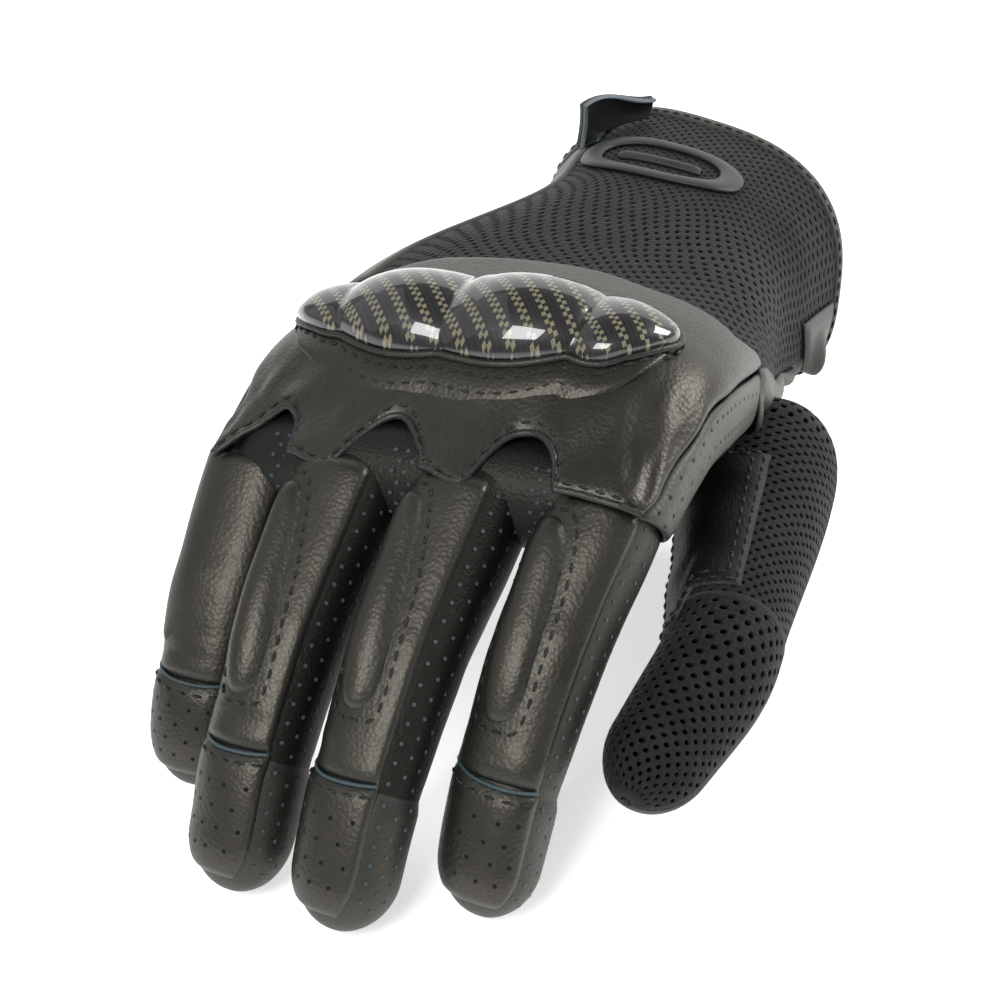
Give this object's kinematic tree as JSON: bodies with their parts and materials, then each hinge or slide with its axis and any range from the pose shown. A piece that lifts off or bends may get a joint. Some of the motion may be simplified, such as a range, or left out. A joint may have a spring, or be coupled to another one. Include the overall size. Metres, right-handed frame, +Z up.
{
  "type": "motorcycle riding glove",
  "caption": "Short-cuff leather and mesh riding glove for the right hand, with a carbon knuckle guard, jointed fingers and thumb and a wrist strap.",
  "frame": {"origin": "middle of the footprint, on the surface the glove rests on", "axes": "+Z up, the fingers point to -Y, the cuff to +Y and the thumb lies on the +X side"},
  "size_m": [0.117, 0.2376, 0.0881],
  "materials": {
    "leather": "soft satin full-grain leather, fine pebble grain",
    "perforated_leather": "satin leather with rows of small punched holes",
    "suede": "matt brushed suede",
    "mesh_fabric": "matt knitted spacer mesh with oval holes",
    "carbon": "clear-coated carbon twill, glossy",
    "foam": "closed-cell foam, hidden under the leather",
    "lining": "soft knitted lining",
    "moulded_rubber": "matt moulded rubber"
  },
  "bodies": {
    "hand": {"back_panel": "leather", "ulnar_side_panel": "suede", "radial_side_strip": "perforated_leather", "palm_panel": "leather", "back_mesh_panel": "mesh_fabric", "wrist_gusset": "leather", "knuckle_guard": "carbon", "guard_surround": "leather", "guard_foam": "foam", "palm_heel_pad": "leather", "palm_grip_patch": "suede", "hand_lining": "lining"},
    "cuff": {"cuff_back": "mesh_fabric", "cuff_underside": "leather", "cuff_binding": "suede", "cuff_badge": "moulded_rubber", "side_tab": "leather"},
    "strap": {"wrist_strap": "leather", "strap_pull_tab": "leather"},
    "index_finger": {"index_back": "leather", "index_palm": "leather", "index_sides": "perforated_leather", "index_rib": "foam"},
    "index_middle": {"index_middle_back": "leather", "index_middle_palm": "leather", "index_middle_sides": "perforated_leather"},
    "index_tip": {"index_tip_cap": "perforated_leather", "index_tip_wrap": "perforated_leather"},
    "middle_finger": {"middle_back": "leather", "middle_palm": "leather", "middle_sides": "perforated_leather", "middle_rib": "foam"},
    "middle_middle": {"middle_middle_back": "leather", "middle_middle_palm": "leather", "middle_middle_sides": "perforated_leather"},
    "middle_tip": {"middle_tip_cap": "perforated_leather", "middle_tip_wrap": "perforated_leather"},
    "ring_finger": {"ring_back": "leather", "ring_palm": "leather", "ring_sides": "perforated_leather", "ring_rib": "foam"},
    "ring_middle": {"ring_middle_back": "leather", "ring_middle_palm": "leather", "ring_middle_sides": "perforated_leather"},
    "ring_tip": {"ring_tip_cap": "perforated_leather", "ring_tip_wrap": "perforated_leather"},
    "little_finger": {"little_back": "leather", "little_palm": "leather", "little_sides": "perforated_leather"},
    "little_middle": {"little_middle_back": "leather", "little_middle_palm": "leather", "little_middle_sides": "perforated_leather"},
    "little_tip": {"little_tip_cap": "perforated_leather", "little_tip_wrap": "perforated_leather"},
    "thumb": {"thumb_back": "mesh_fabric", "thumb_palm": "leather", "thumb_patch": "suede"},
    "thumb_tip": {"thumb_tip_cap": "mesh_fabric", "thumb_tip_wrap": "leather"}
  },
  "joints": [
    {"name": "index_root_joint", "type": "hinge", "parent": "hand", "child": "index_finger", "pos_m": [0.02355, -0.05126, 0.05469], "axis": [0.9877, -0.1526, 0.0345], "range_deg": [-18, 45]},
    {"name": "index_middle_joint", "type": "hinge", "parent": "index_finger", "child": "index_middle", "pos_m": [0.02059, -0.07397, 0.03902], "axis": [0.9877, -0.1526, 0.0345], "range_deg": [-18, 50]},
    {"name": "index_tip_joint", "type": "hinge", "parent": "index_middle", "child": "index_tip", "pos_m": [0.0186, -0.09093, 0.02111], "axis": [0.9877, -0.1526, 0.0345], "range_deg": [-10.8, 30]},
    {"name": "middle_root_joint", "type": "hinge", "parent": "hand", "child": "middle_finger", "pos_m": [-0.00105, -0.05419, 0.05535], "axis": [0.9945, -0.102, 0.0231], "range_deg": [-18, 45]},
    {"name": "middle_middle_joint", "type": "hinge", "parent": "middle_finger", "child": "middle_middle", "pos_m": [-0.00337, -0.08028, 0.04004], "axis": [0.9945, -0.102, 0.0231], "range_deg": [-18, 50]},
    {"name": "middle_tip_joint", "type": "hinge", "parent": "middle_middle", "child": "middle_tip", "pos_m": [-0.00499, -0.10022, 0.02183], "axis": [0.9945, -0.102, 0.0231], "range_deg": [-10.8, 30]},
    {"name": "ring_root_joint", "type": "hinge", "parent": "hand", "child": "ring_finger", "pos_m": [-0.02535, -0.05441, 0.05438], "axis": [0.9976, -0.068, 0.0154], "range_deg": [-18, 45]},
    {"name": "ring_middle_joint", "type": "hinge", "parent": "ring_finger", "child": "ring_middle", "pos_m": [-0.02682, -0.07935, 0.0392], "axis": [0.9976, -0.068, 0.0154], "range_deg": [-18, 50]},
    {"name": "ring_tip_joint", "type": "hinge", "parent": "ring_middle", "child": "ring_tip", "pos_m": [-0.02783, -0.0983, 0.02133], "axis": [0.9976, -0.068, 0.0154], "range_deg": [-10.8, 30]},
    {"name": "little_root_joint", "type": "hinge", "parent": "hand", "child": "little_finger", "pos_m": [-0.04765, -0.04944, 0.04915], "axis": [0.9994, -0.034, 0.0077], "range_deg": [-18, 45]},
    {"name": "little_middle_joint", "type": "hinge", "parent": "little_finger", "child": "little_middle", "pos_m": [-0.04815, -0.06744, 0.03495], "axis": [0.9994, -0.034, 0.0077], "range_deg": [-18, 50]},
    {"name": "little_tip_joint", "type": "hinge", "parent": "little_middle", "child": "little_tip", "pos_m": [-0.04848, -0.08052, 0.01922], "axis": [0.9994, -0.034, 0.0077], "range_deg": [-10.8, 30]},
    {"name": "thumb_root_joint", "type": "hinge", "parent": "hand", "child": "thumb", "pos_m": [0.03495, 0.01295, 0.02581], "axis": [0.0302, 0.0506, 0.9983], "range_deg": [-2, 25]},
    {"name": "thumb_tip_joint", "type": "hinge", "parent": "thumb", "child": "thumb_tip", "pos_m": [0.04658, -0.05398, 0.02885], "axis": [0.9772, -0.2117, -0.0188], "range_deg": [-10, 40]},
    {"name": "wrist_joint", "type": "hinge", "parent": "hand", "child": "cuff", "pos_m": [-0.01085, 0.04999, 0.03998], "axis": [1, 0, 0], "range_deg": [-15, 15]},
    {"name": "strap_joint", "type": "hinge", "parent": "cuff", "child": "strap", "pos_m": [-0.03687, 0.09046, 0.00982], "axis": [0.1282, -0.9682, 0.2148], "range_deg": [0, 70]}
  ],
  "couplings": [
    {"joint": "index_tip_joint", "follows": "index_middle_joint", "ratio": 0.6},
    {"joint": "middle_tip_joint", "follows": "middle_middle_joint", "ratio": 0.6},
    {"joint": "ring_tip_joint", "follows": "ring_middle_joint", "ratio": 0.6},
    {"joint": "little_tip_joint", "follows": "little_middle_joint", "ratio": 0.6}
  ]
}
